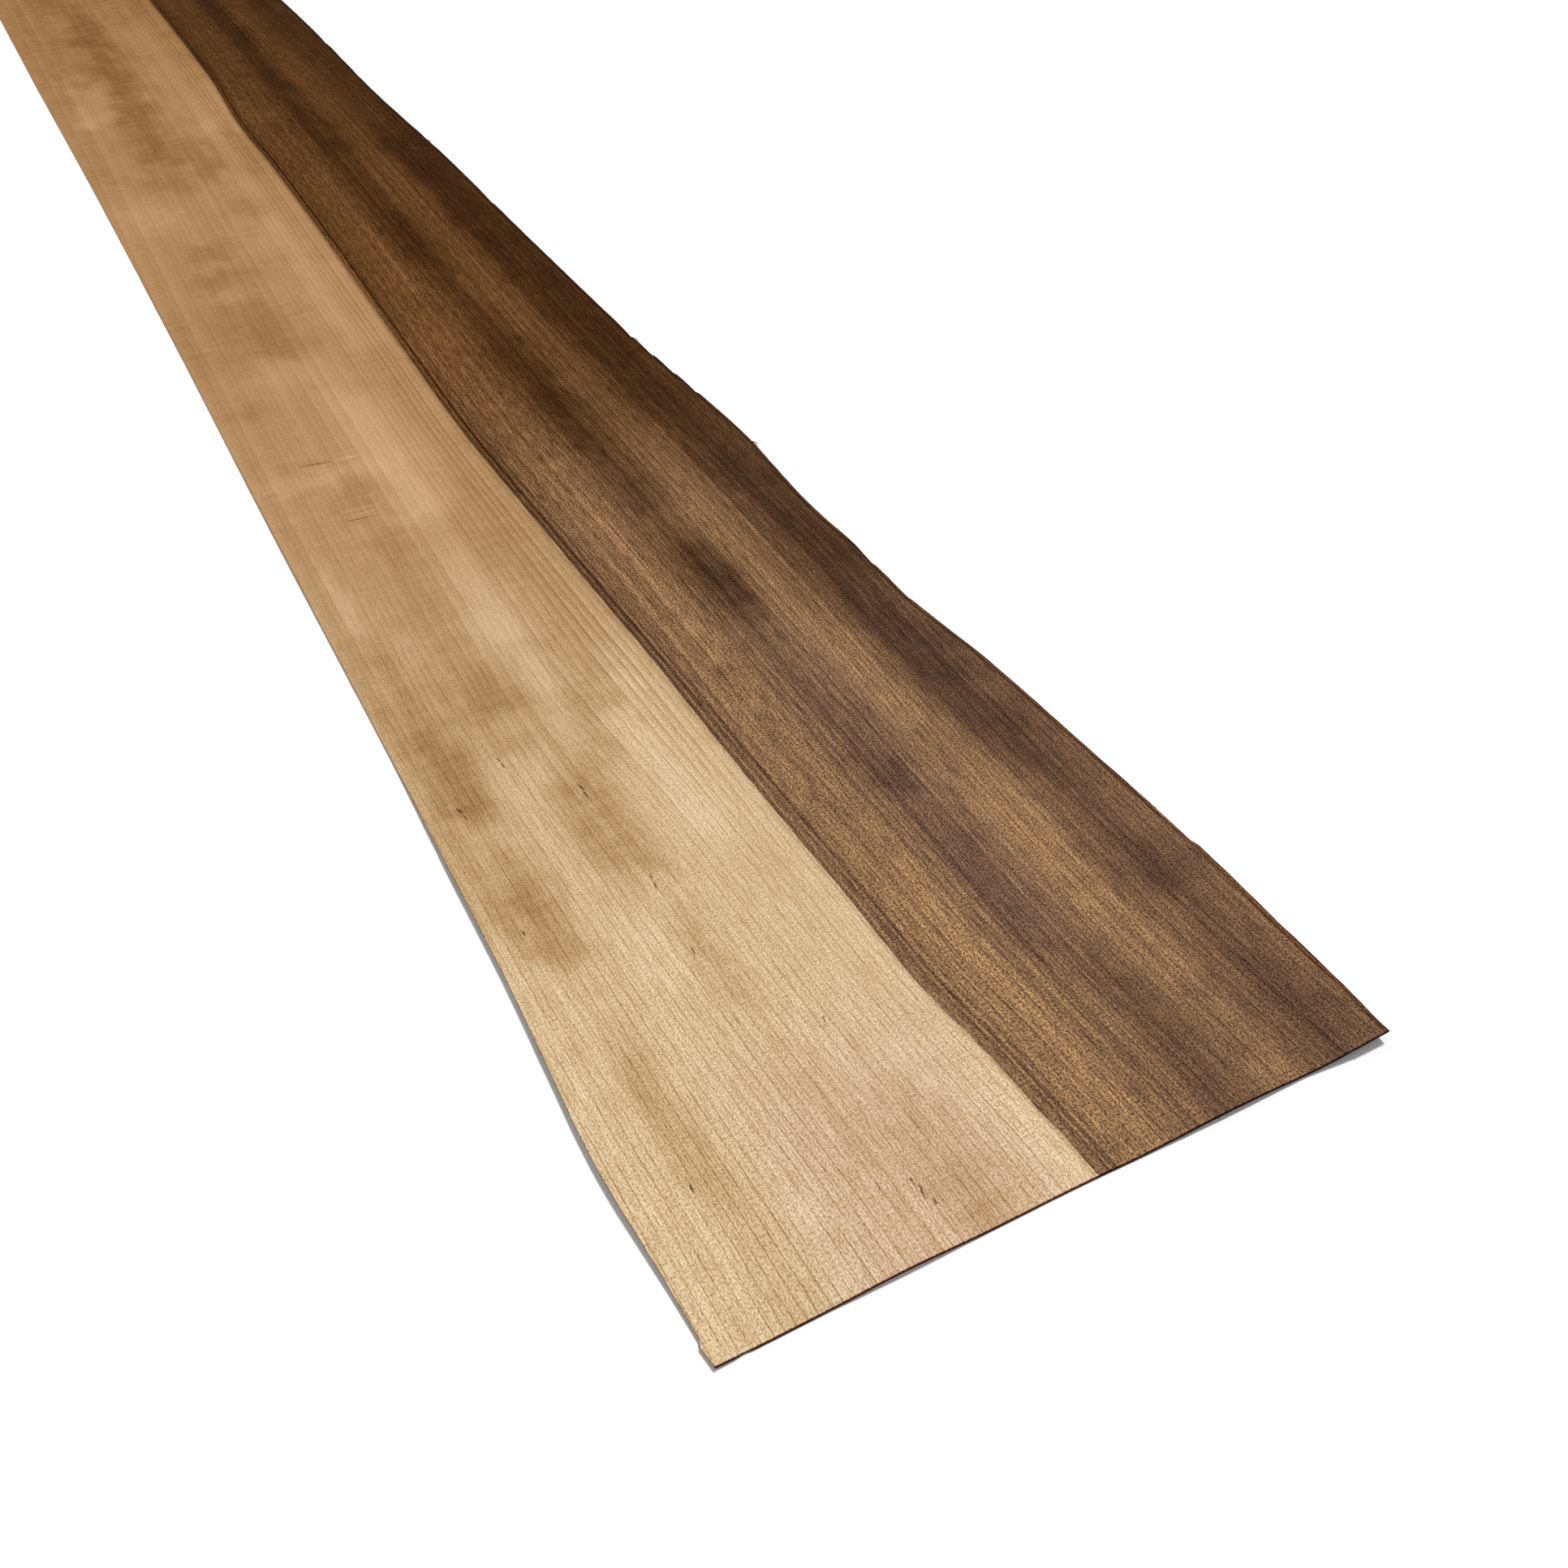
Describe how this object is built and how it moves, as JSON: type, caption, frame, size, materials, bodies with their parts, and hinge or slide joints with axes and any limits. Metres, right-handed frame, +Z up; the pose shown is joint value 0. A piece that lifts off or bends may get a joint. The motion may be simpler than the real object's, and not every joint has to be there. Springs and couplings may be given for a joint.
{
  "type": "wood veneer sheet",
  "caption": "Long leaf of thin sliced wood veneer, lying flat, with pale sapwood along its straight rim and brown heartwood along its waney rim.",
  "frame": {"origin": "middle of the leaf's outline, on the surface that it lies on", "axes": "+X along the grain towards the near cut, +Y across towards the waney heartwood rim, +Z up through the thickness"},
  "size_m": [2.44, 0.2572, 0.0038],
  "materials": {
    "veneer": "bare sliced face grain, pale sapwood on one side and brown heartwood on the other"
  },
  "bodies": {
    "root": {"veneer_sheet": "veneer"}
  },
  "joints": []
}
